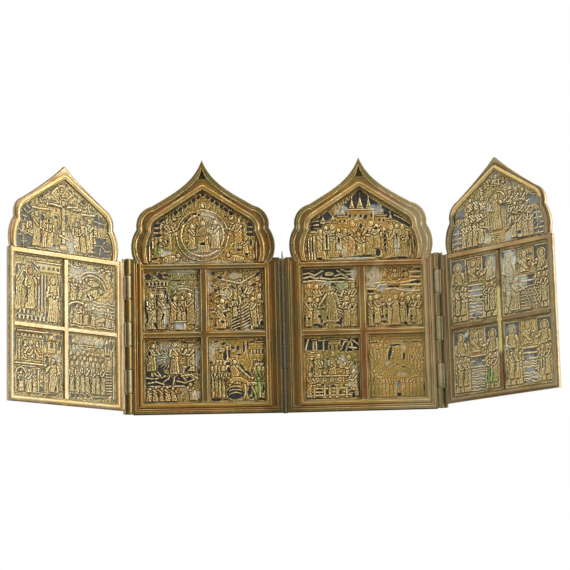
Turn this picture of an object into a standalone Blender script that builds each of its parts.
"""A travel icon: four cast leaves, hinged side by side, that stand open like a screen.

Metres, +Z up, the icon's front towards -Y. Each leaf is one casting: a plate with a moulded frame,
four squares of relief, a keel-shaped top with relief of its own, and the hinge knuckles on its edges.
The two wings hang a little higher than the centre leaves, so the icon leans forward by LEAN until the
wings' outer corners stand on the floor too.
"""
from math import cos, pi, radians, sin, tan

import bmesh
import bpy
from mathutils import Matrix, Vector

# How the icon stands open
LEAN = radians(2.4)
CENTRE_FOLD = radians(3.4)
LEFT_SWING = radians(38.5)
RIGHT_SWING = radians(42.2)

# Hinges
KNUCKLE_R = 0.0020
BORE_R = 0.00115
PIN_R = 0.0007
KNUCKLE_SIDES = 8
BORE_SIDES = 6
KNUCKLE_COUNT = 7
BOTTOM_KNUCKLE = 0.0140
TOP_KNUCKLE = 0.0117
KNUCKLE_GAP = 0.0003
AXIS_OFF_FACE = 0.0003
TONGUE_NEAR = 0.0001
TONGUE_FAR = 0.00165
EDGE_TO_AXIS_AT_CENTRE = 0.0023
EDGE_TO_AXIS_AT_WING = 0.0023
WING_EDGE_TO_AXIS = 0.0023
HINGE_HEIGHT = 0.1064
PIN_END_RECESS = 0.0002
SPIKE_TOP = 0.1120
SPIKE_BASE_R = 0.0005
SPIKE_TIP_R = 0.0002

# How far one solid of a casting reaches into the next, and the arch's back stands in from the plate's
EMBED = 0.0003
BACK_STEP = 0.0001

# A leaf's measures. Margins are the frame's width round the four squares, as left and right for the
# left leaf of a pair; the right leaf of the pair is its mirror image.
CENTRE = {
    "width": 0.1003, "square_top": 0.0990, "rail_top": 0.1030, "rect_top": 0.1064,
    "thick": 0.0054, "field": 0.0035, "rise": 1.0,
    "margins": (0.0075, 0.0105), "bottom": 0.0075,
    "bar_v": 0.0050, "bar_h": 0.0044, "bar_z": 0.0538, "bar_depth": 0.0004,
    "outer": {
        "lobe": ((0.0454, 0.1027), (0.0488, 0.1170), (0.0455, 0.1263)),
        "shoulder": ((0.0451, 0.1272), (0.0430, 0.1372), (0.0345, 0.1430)),
        "keel": ((0.0345, 0.1430), (0.0200, 0.1520), (0.0060, 0.1585), (0.0, 0.1754)),
    },
    "inner": {
        "lobe": ((0.0370, 0.1027), (0.0384, 0.1150), (0.0358, 0.1235)),
        "shoulder": ((0.0350, 0.1245), (0.0346, 0.1305), (0.0312, 0.1342)),
        "keel": ((0.0312, 0.1342), (0.0208, 0.1410), (0.0104, 0.1478), (0.0, 0.1545)),
    },
    "profile": ((0.0, 0.0), (0.30, 0.0), (0.38, 0.0018), (0.58, 0.0018), (0.68, 0.0003),
                (0.88, 0.0003), (1.0, 0.0035)),
}
WING = {
    "width": 0.0938, "square_top": 0.0980, "rail_top": 0.1016, "rect_top": 0.1006,
    "thick": 0.0042, "field": 0.0024, "rise": 0.72,
    "margins": (0.0037, 0.0078), "bottom": 0.0041,
    "bar_v": 0.0036, "bar_h": 0.0032, "bar_z": 0.0506, "bar_depth": 0.0002,
    "outer": {
        "lobe": ((0.0422, 0.1000), (0.0438, 0.1130), (0.0400, 0.1224)),
        "shoulder": ((0.0399, 0.1230), (0.0386, 0.1315), (0.0330, 0.1363)),
        "keel": ((0.0330, 0.1363), (0.0220, 0.1435), (0.0080, 0.1535), (0.0, 0.1614)),
    },
    "inner": {
        "lobe": ((0.0385, 0.1000), (0.0390, 0.1110), (0.0362, 0.1195)),
        "shoulder": ((0.0352, 0.1207), (0.0350, 0.1280), (0.0310, 0.1325)),
        "keel": ((0.0310, 0.1325), (0.0207, 0.1392), (0.0103, 0.1458), (0.0, 0.1525)),
    },
    "profile": ((0.0, 0.0010), (0.16, 0.0010), (0.32, 0.0), (0.70, 0.0), (0.84, 0.0012),
                (1.0, 0.0024)),
}
LOBE_STEPS = 3
SHOULDER_STEPS = 3
KEEL_STEPS = 5

# How far the plate's upper corners run in under the top's moulding
CORNER_REACH = 0.0060

# How much narrower a divider's crest is than its foot
BAR_CREST = 0.7

# How high each kind of relief stands above its ground
ROBE_RISE = 0.0012
HALO_RISE = 0.0010
HEAD_RISE = 0.0015
BLOCK_RISE = 0.0008
ROBE_WIDTH = 0.56
ROBE_TAPER = 0.45
ROBE_CROWN = 0.68
HEAD_SHARE = 0.26

BRASS_YELLOW = (0.56, 0.42, 0.20, 1.0)
BRASS_BROWN = (0.33, 0.23, 0.11, 1.0)
PIN_STEEL_BROWN = (0.20, 0.16, 0.12, 1.0)


def remove_everything():
    """Empty the scene of objects."""
    for thing in list(bpy.data.objects):
        bpy.data.objects.remove(thing)


def make_collection(name):
    """A new collection in the scene."""
    group = bpy.data.collections.new(name)
    bpy.context.scene.collection.children.link(group)
    return group


def metal(name, colour, roughness):
    """A plain metal material."""
    material = bpy.data.materials.new(name)
    material.use_nodes = True
    shader = material.node_tree.nodes["Principled BSDF"]
    shader.inputs["Base Color"].default_value = colour
    shader.inputs["Metallic"].default_value = 1.0
    shader.inputs["Roughness"].default_value = roughness
    material.diffuse_color = colour
    return material


def add_object(name, mesh, group, parent=None):
    """Link a mesh or curve as an object of a collection."""
    thing = bpy.data.objects.new(name, mesh)
    group.objects.link(thing)
    thing.parent = parent
    return thing


def arc_through(start, middle, end, steps):
    """Points on the circle through three points, from start to just before end."""
    ax, ay = start
    bx, by = middle
    cx, cy = end
    twice = 2.0 * (ax * (by - cy) + bx * (cy - ay) + cx * (ay - by))
    a2, b2, c2 = ax * ax + ay * ay, bx * bx + by * by, cx * cx + cy * cy
    ux = (a2 * (by - cy) + b2 * (cy - ay) + c2 * (ay - by)) / twice
    uy = (a2 * (cx - bx) + b2 * (ax - cx) + c2 * (bx - ax)) / twice
    centre = Vector((ux, uy))
    spoke = Vector(start) - centre
    turn = spoke.angle_signed(Vector(end) - centre)
    points = []
    for step in range(steps):
        angle = -turn * step / steps
        points.append(centre + Matrix.Rotation(angle, 2) @ spoke)
    return points


def bezier(start, first, second, end, steps):
    """Points on a cubic curve, from start to end."""
    points = []
    for step in range(steps + 1):
        t = step / steps
        s = 1.0 - t
        weights = (s * s * s, 3 * s * s * t, 3 * s * t * t, t * t * t)
        spots = (start, first, second, end)
        x = sum(weight * spot[0] for weight, spot in zip(weights, spots))
        z = sum(weight * spot[1] for weight, spot in zip(weights, spots))
        points.append(Vector((x, z)))
    return points


def keel_arch(shape):
    """The top's outline from its left foot over the point to its right foot, about x = 0."""
    half = arc_through(*shape["lobe"], LOBE_STEPS)
    half.append(Vector(shape["lobe"][-1]))
    half += arc_through(*shape["shoulder"], SHOULDER_STEPS)
    half += bezier(*shape["keel"], KEEL_STEPS)
    left = [Vector((-point.x, point.y)) for point in half]
    right = [Vector((point.x, point.y)) for point in reversed(half[:-1])]
    return left + right


def arch_solid(bm, leaf, centre_x):
    """The keel-shaped top: a moulding that follows the outline, round a sunk ground."""
    outer = keel_arch(leaf["outer"])
    inner = keel_arch(leaf["inner"])
    back_y = leaf["thick"] - BACK_STEP
    rows = []
    for edge, ground in zip(outer, inner):
        spots = [(edge.x, back_y, edge.y)]
        for share, depth in leaf["profile"]:
            spot = edge.lerp(ground, share)
            spots.append((spot.x, depth + BACK_STEP, spot.y))
        rows.append([bm.verts.new((x + centre_x, y, z)) for x, y, z in spots])
    for row, after in zip(rows, rows[1:]):
        for low in range(len(row) - 1):
            bm.faces.new((row[low], row[low + 1], after[low + 1], after[low]))
    bm.faces.new([row[-1] for row in rows])
    bm.faces.new([row[0] for row in reversed(rows)])
    bm.faces.new(list(reversed(rows[0])) + rows[-1])


def frame_solid(bm, leaf, margins):
    """The plate under the top: a moulded frame round one sunk ground."""
    left, right = margins
    inset = {
        "x0": left, "x1": -right, "z0": leaf["bottom"], "z1": leaf["square_top"] - leaf["rail_top"],
    }
    rings = []
    for share, depth in ((0.0, leaf["thick"]),) + leaf["profile"]:
        x0 = inset["x0"] * share
        x1 = leaf["width"] + inset["x1"] * share
        z0 = inset["z0"] * share
        z1 = leaf["rail_top"] + inset["z1"] * share
        corners = ((x0, z0), (x1, z0), (x1, z1), (x0, z1))
        rings.append([bm.verts.new((x, depth, z)) for x, z in corners])
    for ring, after in zip(rings, rings[1:]):
        for corner in range(4):
            other = (corner + 1) % 4
            bm.faces.new((ring[corner], ring[other], after[other], after[corner]))
    bm.faces.new(rings[-1])
    bm.faces.new(list(reversed(rings[0])))


def box(bm, low, high):
    """A plain box between two corners."""
    size = Vector(high) - Vector(low)
    middle = (Vector(high) + Vector(low)) / 2.0
    place = Matrix.Translation(middle) @ Matrix.Diagonal((*size, 1.0))
    bmesh.ops.create_cube(bm, size=1.0, matrix=place)


def ridge_bar(bm, low, high, ground, along_z):
    """A bar between the squares, with sloping sides, from the ground up to a narrower top."""
    made = bmesh.ops.create_cube(bm, size=1.0)["verts"]
    for vert in made:
        share = vert.co + Vector((0.5, 0.5, 0.5))
        front = vert.co.y < 0.0
        pinch_x = BAR_CREST if front and along_z else 1.0
        pinch_z = BAR_CREST if front and not along_z else 1.0
        middle_x = (low[0] + high[0]) / 2.0
        middle_z = (low[2] + high[2]) / 2.0
        x = low[0] + (high[0] - low[0]) * share.x
        z = low[2] + (high[2] - low[2]) * share.z
        vert.co.x = middle_x + (x - middle_x) * pinch_x
        vert.co.z = middle_z + (z - middle_z) * pinch_z
        vert.co.y = low[1] if front else ground + EMBED


def boss(bm, sides, x, z, width, height, ground, rise, crown=0.7, taper=0.0, turn=0.0):
    """A raised form with a flat crown on the ground: a robe, a head, a halo, a block or a dome.

    taper narrows it towards its top, and turn leans it to the right.
    """
    spin = pi / sides
    reach = cos(pi / sides)
    flat_x = reach if sides % 4 == 0 else 1.0
    made = bmesh.ops.create_cone(
        bm, cap_ends=True, segments=sides, radius1=1.0, radius2=crown, depth=1.0,
        matrix=Matrix.Rotation(spin, 4, "Z"))["verts"]
    lean = Matrix.Rotation(-turn, 2)
    for vert in made:
        across = vert.co.x / flat_x * (1.0 - taper * vert.co.y)
        spot = lean @ Vector((across * width / 2.0, vert.co.y / reach * height / 2.0))
        deep = ground + EMBED - (vert.co.z + 0.5) * (rise + EMBED)
        vert.co = (x + spot.x, deep, z + spot.y)


def person(u, foot, tall, turn=0.0, wide=1.0):
    """A standing robed figure: where its feet are and how tall it is, as shares of the square."""
    return [("robe", u, foot, tall * (1.0 - HEAD_SHARE), turn, wide),
            ("head", u + turn * tall * 0.8, foot + tall * (1.0 - HEAD_SHARE), tall * HEAD_SHARE)]


def people(spots, foot, tall):
    """A row of standing figures."""
    made = []
    for spot in spots:
        made += person(spot, foot, tall)
    return made


def block(u, v, wide, tall):
    """A raised block, by its middle."""
    return [("block", u, v, wide, tall)]


def disc(u, v, wide, kind="disc"):
    """A raised round, by its middle and its width."""
    return [(kind, u, v, wide)]


# What each square shows, in broad forms; u runs to the right and v up, both as shares of the square
SQUARES = {
    "message": person(0.18, 0.12, 0.74, -0.05, 1.5) + person(0.78, 0.10, 0.72)
    + block(0.47, 0.42, 0.06, 0.60) + block(0.60, 0.42, 0.06, 0.60) + block(0.50, 0.90, 0.84, 0.06),
    "birth": disc(0.45, 0.66, 0.34, "ring") + person(0.46, 0.44, 0.34, 0.0, 1.6)
    + people((0.16, 0.84), 0.52, 0.36) + people((0.34, 0.52), 0.06, 0.36)
    + block(0.80, 0.20, 0.26, 0.16),
    "house": block(0.50, 0.88, 0.84, 0.08) + block(0.14, 0.70, 0.08, 0.30)
    + block(0.56, 0.70, 0.08, 0.30) + people((0.34, 0.76), 0.48, 0.36)
    + block(0.56, 0.22, 0.10, 0.36) + people((0.28, 0.82), 0.06, 0.38),
    "crowd": people((0.16, 0.33, 0.50, 0.67), 0.10, 0.52) + block(0.88, 0.34, 0.12, 0.50)
    + disc(0.14, 0.80, 0.16) + disc(0.86, 0.82, 0.16) + block(0.50, 0.80, 0.30, 0.10),
    "temple": people((0.14, 0.32), 0.06, 0.62) + block(0.24, 0.83, 0.36, 0.08)
    + people((0.60, 0.80), 0.16, 0.52) + block(0.70, 0.10, 0.30, 0.12) + block(0.70, 0.86, 0.44, 0.08),
    "river": person(0.36, 0.26, 0.46) + person(0.86, 0.10, 0.66) + disc(0.42, 0.88, 0.20)
    + block(0.58, 0.26, 0.07, 0.44) + block(0.72, 0.20, 0.06, 0.36) + person(0.14, 0.10, 0.46),
    "mountain": disc(0.34, 0.68, 0.44, "ring") + person(0.34, 0.46, 0.46)
    + people((0.72, 0.90), 0.46, 0.40) + people((0.16, 0.46, 0.78), 0.04, 0.26)
    + block(0.50, 0.36, 0.80, 0.06),
    "gate": people((0.12, 0.28), 0.10, 0.54) + block(0.56, 0.26, 0.44, 0.14)
    + person(0.46, 0.34, 0.34, 0.0, 1.4) + block(0.80, 0.76, 0.30, 0.34) + people((0.88,), 0.08, 0.46)
    + block(0.22, 0.82, 0.24, 0.12),
    "descent": disc(0.44, 0.48, 0.46, "ring") + person(0.44, 0.24, 0.58) + people((0.12, 0.82), 0.24, 0.46)
    + block(0.50, 0.90, 0.80, 0.07) + block(0.44, 0.09, 0.50, 0.10),
    "ascent": people((0.12, 0.30, 0.70, 0.88), 0.04, 0.54) + person(0.50, 0.04, 0.58)
    + disc(0.50, 0.84, 0.24) + block(0.22, 0.78, 0.30, 0.06) + block(0.78, 0.78, 0.30, 0.06),
    "guests": people((0.20, 0.80), 0.28, 0.46) + person(0.50, 0.36, 0.50) + block(0.50, 0.26, 0.64, 0.12)
    + block(0.24, 0.88, 0.28, 0.14) + block(0.78, 0.86, 0.24, 0.16),
    "sleep": person(0.55, 0.46, 0.48) + people((0.14, 0.30, 0.76, 0.90), 0.38, 0.42)
    + block(0.50, 0.34, 0.72, 0.14) + block(0.18, 0.88, 0.24, 0.12) + block(0.82, 0.88, 0.24, 0.12),
    "homage": people((0.14, 0.30, 0.70, 0.86), 0.06, 0.42) + block(0.50, 0.22, 0.14, 0.30)
    + block(0.50, 0.74, 0.30, 0.36) + disc(0.16, 0.74, 0.24) + disc(0.84, 0.74, 0.24),
}

# What each top shows; u runs from -1 to 1 across half the ground's width, v up from its foot to its point
TOPS = {
    "cross": [("bar", 0.0, 0.42, 0.07, 0.80), ("bar", 0.0, 0.60, 0.80, 0.06), ("bar", 0.0, 0.74, 0.30, 0.05)]
    + people((-0.62, -0.44, -0.27), 0.06, 0.42) + people((0.27, 0.44, 0.62), 0.06, 0.42)
    + [("disc", 0.0, 0.84, 0.20)],
    "medallion": [("ring", 0.0, 0.42, 0.92)] + people((0.0,), 0.18, 0.46)
    + people((-0.24, 0.24), 0.24, 0.34) + people((-0.66, 0.66), 0.08, 0.44)
    + [("disc", -0.60, 0.12, 0.16), ("disc", 0.60, 0.12, 0.16), ("disc", 0.0, 0.86, 0.16)],
    "raising": people((-0.62, -0.42, -0.22, 0.22, 0.42, 0.62), 0.10, 0.38)
    + people((0.0,), 0.14, 0.44) + [("disc", 0.0, 0.78, 0.18), ("disc", -0.24, 0.70, 0.14)]
    + [("disc", 0.24, 0.70, 0.14), ("bar", 0.0, 0.04, 1.20, 0.06)],
    "throne": people((-0.70, -0.52, -0.34, 0.34, 0.52, 0.70), 0.06, 0.40)
    + [("bar", 0.0, 0.28, 0.36, 0.44)] + people((0.0,), 0.12, 0.58)
    + [("disc", -0.26, 0.62, 0.14), ("disc", 0.26, 0.62, 0.14)],
}


def relief_form(bm, leaf, form, corner, size):
    """One raised form of a square or a top, from its shares of the ground."""
    kind, u, v = form[:3]
    x = corner[0] + u * size[0]
    z = corner[1] + v * size[1]
    ground = leaf["field"]
    rise = leaf["rise"]
    unit = size[1]
    if kind == "robe":
        tall, turn, wide = form[3] * unit, form[4], form[5]
        width = tall * ROBE_WIDTH * wide
        boss(bm, 6, x + turn * tall, z + tall / 2.0, width, tall, ground, ROBE_RISE * rise,
             ROBE_CROWN, ROBE_TAPER, turn)
    elif kind == "head":
        across = form[3] * unit
        boss(bm, 6, x, z + across * 0.42, across, across, ground, HEAD_RISE * rise, 0.0)
    elif kind == "ring":
        across = form[3] * unit
        boss(bm, 10, x, z, across, across, ground, HALO_RISE * rise * 0.6, 0.9)
    elif kind == "disc":
        across = form[3] * unit
        boss(bm, 8, x, z, across, across, ground, HALO_RISE * rise, 0.6)
    else:
        share = size[0] if kind == "block" else unit
        boss(bm, 4, x, z, form[3] * share, form[4] * unit, ground, BLOCK_RISE * rise, 0.86)


def leaf_layout(leaf, margins):
    """Where a leaf's squares, bars and top lie, in its own frame."""
    left, right = margins
    x_low, x_high = left, leaf["width"] - right
    centre = (x_low + x_high) / 2.0
    half_bar = leaf["bar_v"] / 2.0
    z_bar = (leaf["bar_z"] - leaf["bar_h"] / 2.0, leaf["bar_z"] + leaf["bar_h"] / 2.0)
    return {
        "x": ((x_low, centre - half_bar), (centre + half_bar, x_high)),
        "z": ((leaf["bottom"], z_bar[0]), (z_bar[1], leaf["square_top"])),
        "centre": centre,
    }


def add_bars(bm, leaf, place):
    """The cross-shaped divider between the four squares."""
    (x0, xa), (xb, x1) = place["x"]
    (z0, za), (zb, z1) = place["z"]
    top = leaf["bar_depth"]
    ridge_bar(bm, (xa, top, z0 - EMBED), (xb, top, z1 + EMBED), leaf["field"], True)
    ridge_bar(bm, (x0 - EMBED, top + BACK_STEP, za), (x1 + EMBED, top, zb), leaf["field"], False)


def add_relief(bm, leaf, place, squares, top):
    """The raised forms of the four squares and of the top."""
    for row, names in zip((1, 0), (squares[:2], squares[2:])):
        for column, name in enumerate(names):
            x0, x1 = place["x"][column]
            z0, z1 = place["z"][row]
            for form in SQUARES[name]:
                relief_form(bm, leaf, form, (x0, z0), (x1 - x0, z1 - z0))
    half = leaf["inner"]["lobe"][0][0]
    foot = leaf["rail_top"]
    point = leaf["inner"]["keel"][-1][1]
    for form in TOPS[top]:
        relief_form(bm, leaf, form, (place["centre"], foot), (half, point - foot))


def add_corner_blocks(bm, leaf, place):
    """The plate's upper corners beside the top's feet, on the centre leaves alone."""
    if leaf["rect_top"] <= leaf["rail_top"]:
        return
    inset = leaf["outer"]["lobe"][1][0] - CORNER_REACH
    near, far = 2.0 * BACK_STEP, leaf["thick"] - 2.0 * BACK_STEP
    low, high = leaf["rail_top"] - EMBED, leaf["rect_top"]
    box(bm, (BACK_STEP, near, low), (place["centre"] - inset, far, high))
    box(bm, (place["centre"] + inset, near, low), (leaf["width"] - BACK_STEP, far, high))


def knuckle_ends():
    """The heights at which one knuckle ends and the next starts."""
    middle = (HINGE_HEIGHT - BOTTOM_KNUCKLE - TOP_KNUCKLE) / (KNUCKLE_COUNT - 2)
    ends = [0.0, BOTTOM_KNUCKLE]
    for _ in range(KNUCKLE_COUNT - 2):
        ends.append(ends[-1] + middle)
    ends.append(HINGE_HEIGHT)
    return ends


def add_knuckles(bm, axis, plate_edge, tongue_y, own_first, raise_by):
    """One leaf's share of a hinge: its knuckles about the axis, with the tongues that carry them."""
    ends = knuckle_ends()
    for number in range(KNUCKLE_COUNT):
        if (number % 2 == 0) != own_first:
            continue
        low = ends[number] + (KNUCKLE_GAP / 2.0 if number else 0.0) - raise_by
        high = ends[number + 1] - (KNUCKLE_GAP / 2.0 if number < KNUCKLE_COUNT - 1 else 0.0) - raise_by
        place = Matrix.Translation((axis[0], axis[1], (low + high) / 2.0))
        bmesh.ops.create_cone(
            bm, cap_ends=True, segments=KNUCKLE_SIDES, radius1=KNUCKLE_R, radius2=KNUCKLE_R,
            depth=high - low, matrix=place)
        into = 3.0 * EMBED if plate_edge > axis[0] else -3.0 * EMBED
        x_low = min(axis[0], plate_edge + into)
        x_high = max(axis[0], plate_edge + into)
        box(bm, (x_low, tongue_y[0], low + BACK_STEP), (x_high, tongue_y[1], high - BACK_STEP))


def bore_cutter(name, axis, group, leaf):
    """A long cylinder that bores a leaf's knuckles."""
    bm = bmesh.new()
    place = Matrix.Translation((axis[0], axis[1], HINGE_HEIGHT / 2.0))
    bmesh.ops.create_cone(bm, cap_ends=True, segments=BORE_SIDES, radius1=BORE_R, radius2=BORE_R,
                          depth=HINGE_HEIGHT * 1.2, matrix=place)
    mesh = bpy.data.meshes.new(name)
    bm.to_mesh(mesh)
    bm.free()
    cutter = add_object(name, mesh, group, leaf)
    cutter.hide_render = True
    cutter.display_type = "WIRE"
    cut = leaf.modifiers.new(name, "BOOLEAN")
    cut.operation = "DIFFERENCE"
    cut.object = cutter


def make_leaf(name, leaf, mirrored, shift, squares, top, hinges, groups, parent, material):
    """One cast leaf, its origin on its hinge axis.

    shift is where the plate's left bottom front corner lies from that axis. hinges lists, for each
    hinge of the leaf, its axis, the plate's edge that faces it, whether it lies behind, whether the
    leaf owns the first knuckle, and how far the leaf is raised.
    """
    margins = tuple(reversed(leaf["margins"])) if mirrored else leaf["margins"]
    place = leaf_layout(leaf, margins)
    plate = bmesh.new()
    frame_solid(plate, leaf, margins)
    add = bmesh.new()
    arch_solid(add, leaf, place["centre"])
    add_corner_blocks(add, leaf, place)
    add_bars(add, leaf, place)
    add_relief(add, leaf, place, squares, top)
    for axis, edge, behind, own_first, raise_by in hinges:
        near, far = TONGUE_NEAR, TONGUE_FAR
        tongue = (leaf["thick"] - far, leaf["thick"] - near) if behind else (near, far)
        add_knuckles(add, axis, edge, tongue, own_first, raise_by)
    move = Matrix.Translation(shift)
    for bm in (plate, add):
        bmesh.ops.transform(bm, matrix=move, verts=bm.verts)
        bmesh.ops.recalc_face_normals(bm, faces=bm.faces)
    plate_mesh = bpy.data.meshes.new(name)
    plate.to_mesh(plate_mesh)
    plate.free()
    add_mesh = bpy.data.meshes.new(name + "_forms")
    add.to_mesh(add_mesh)
    add.free()
    thing = add_object(name, plate_mesh, groups[0], parent)
    plate_mesh.materials.append(material)
    forms = add_object(name + "_forms", add_mesh, groups[1], thing)
    forms.hide_render = True
    forms.display_type = "WIRE"
    join = thing.modifiers.new("forms", "BOOLEAN")
    join.operation = "UNION"
    join.use_self = True
    join.object = forms
    for number, (axis, _, _, _, _) in enumerate(hinges):
        spot = (axis[0] + shift[0], axis[1] + shift[1])
        bore_cutter(f"{name}_bore_{number + 1}", spot, groups[1], thing)
    return thing


def make_pin(name, axis, top, spike, group, parent, material):
    """A hinge pin, turned; the centre one ends in a thin spike above the knuckles."""
    profile = [(0.0, top), (PIN_R, top), (PIN_R, PIN_END_RECESS), (0.0, PIN_END_RECESS)]
    if spike:
        profile = [(0.0, SPIKE_TOP), (SPIKE_TIP_R, SPIKE_TOP), (SPIKE_BASE_R, top + 0.0006),
                   (PIN_R, top)] + profile[2:]
    mesh = bpy.data.meshes.new(name)
    edges = [(number, number + 1) for number in range(len(profile) - 1)]
    mesh.from_pydata([(radius, 0.0, height) for radius, height in profile], edges, [])
    thing = add_object(name, mesh, group, parent)
    thing.location = (axis[0], axis[1], 0.0)
    turned = thing.modifiers.new("turned", "SCREW")
    turned.axis = "Z"
    turned.angle = 2.0 * pi
    turned.steps = BORE_SIDES
    turned.render_steps = BORE_SIDES
    turned.use_merge_vertices = True
    turned.merge_threshold = 0.00001
    mesh.materials.append(material)
    return thing


def wing_raise(swing, fold):
    """How far a wing hangs above the centre leaves, for its outer corner to meet the floor.

    The corner lies forward of the front of the centre leaf's lowest knuckle, and the icon leans.
    """
    reach = WING_EDGE_TO_AXIS + WING["width"]
    behind = AXIS_OFF_FACE + WING["profile"][0][1]
    forward = reach * sin(swing + fold) - behind * cos(swing + fold) - KNUCKLE_R
    return forward * tan(LEAN)


def make_pair(side, stance, groups, materials):
    """The centre leaf and the wing on one side: side is -1 for left and 1 for right."""
    left = side < 0
    word = "left" if left else "right"
    fold = CENTRE_FOLD / 2.0
    swing = LEFT_SWING if left else RIGHT_SWING
    front = -(CENTRE["thick"] + AXIS_OFF_FACE)
    width = CENTRE["width"]
    near = EDGE_TO_AXIS_AT_CENTRE
    plate_x = -(near + width) if left else near
    wing_axis_x = -EDGE_TO_AXIS_AT_WING if left else width + EDGE_TO_AXIS_AT_WING
    fold_axis_x = width + near if left else -near
    squares = (("temple", "river", "mountain", "gate") if left
               else ("descent", "ascent", "guests", "sleep"))
    hinges = (
        ((wing_axis_x, -AXIS_OFF_FACE), 0.0 if left else width, False, True, 0.0),
        ((fold_axis_x, CENTRE["thick"] + AXIS_OFF_FACE), width if left else 0.0, True, left, 0.0),
    )
    centre = make_leaf(f"{word}_centre_leaf", CENTRE, not left, (plate_x, front, 0.0), squares,
                       "medallion" if left else "raising", hinges, groups, stance, materials["brown"])
    centre.rotation_euler = (0.0, 0.0, -side * fold)
    rise = wing_raise(swing, fold)
    wing_x = -(WING_EDGE_TO_AXIS + WING["width"]) if left else WING_EDGE_TO_AXIS
    edge = WING["width"] if left else 0.0
    axis_x = edge - side * WING_EDGE_TO_AXIS
    wing_squares = ("message", "birth", "house", "crowd") if left else ("homage",) * 4
    wing_hinge = (((axis_x, -AXIS_OFF_FACE), edge, False, False, rise),)
    wing = make_leaf(f"{word}_wing", WING, not left, (wing_x, AXIS_OFF_FACE, 0.0), wing_squares,
                     "cross" if left else "throne", wing_hinge, groups, centre, materials["yellow"])
    axis_here = (plate_x + wing_axis_x, front - AXIS_OFF_FACE)
    wing.location = (axis_here[0], axis_here[1], rise)
    wing.rotation_euler = (0.0, 0.0, -side * swing)
    make_pin(f"{word}_hinge_pin", axis_here, HINGE_HEIGHT - PIN_END_RECESS, False, groups[0], centre,
             materials["pin"])
    return centre


def stand_on_origin(stance, group):
    """Move the icon so that the middle of its box is over the origin and its lowest point at z = 0."""
    bpy.context.view_layer.update()
    graph = bpy.context.evaluated_depsgraph_get()
    spots = []
    for thing in group.objects:
        if thing.type != "MESH":
            continue
        shape = thing.evaluated_get(graph)
        spots += [shape.matrix_world @ vert.co for vert in shape.data.vertices]
    low = [min(spot[axis] for spot in spots) for axis in range(3)]
    high = [max(spot[axis] for spot in spots) for axis in range(3)]
    stance.location = (-(low[0] + high[0]) / 2.0, -(low[1] + high[1]) / 2.0, -low[2])


def main():
    remove_everything()
    groups = (make_collection("travel_icon"), make_collection("cutters"))
    materials = {
        "yellow": metal("wing_brass", BRASS_YELLOW, 0.42),
        "brown": metal("centre_brass", BRASS_BROWN, 0.45),
        "pin": metal("pin_metal", PIN_STEEL_BROWN, 0.5),
    }
    stance = bpy.data.objects.new("stance", None)
    groups[0].objects.link(stance)
    stance.rotation_euler = (LEAN, 0.0, 0.0)
    left = make_pair(-1, stance, groups, materials)
    make_pair(1, stance, groups, materials)
    make_pin("centre_hinge_pin", (0.0, 0.0), HINGE_HEIGHT + PIN_END_RECESS, True, groups[0], left,
             materials["pin"])
    stand_on_origin(stance, groups[0])
    bpy.context.view_layer.update()


main()
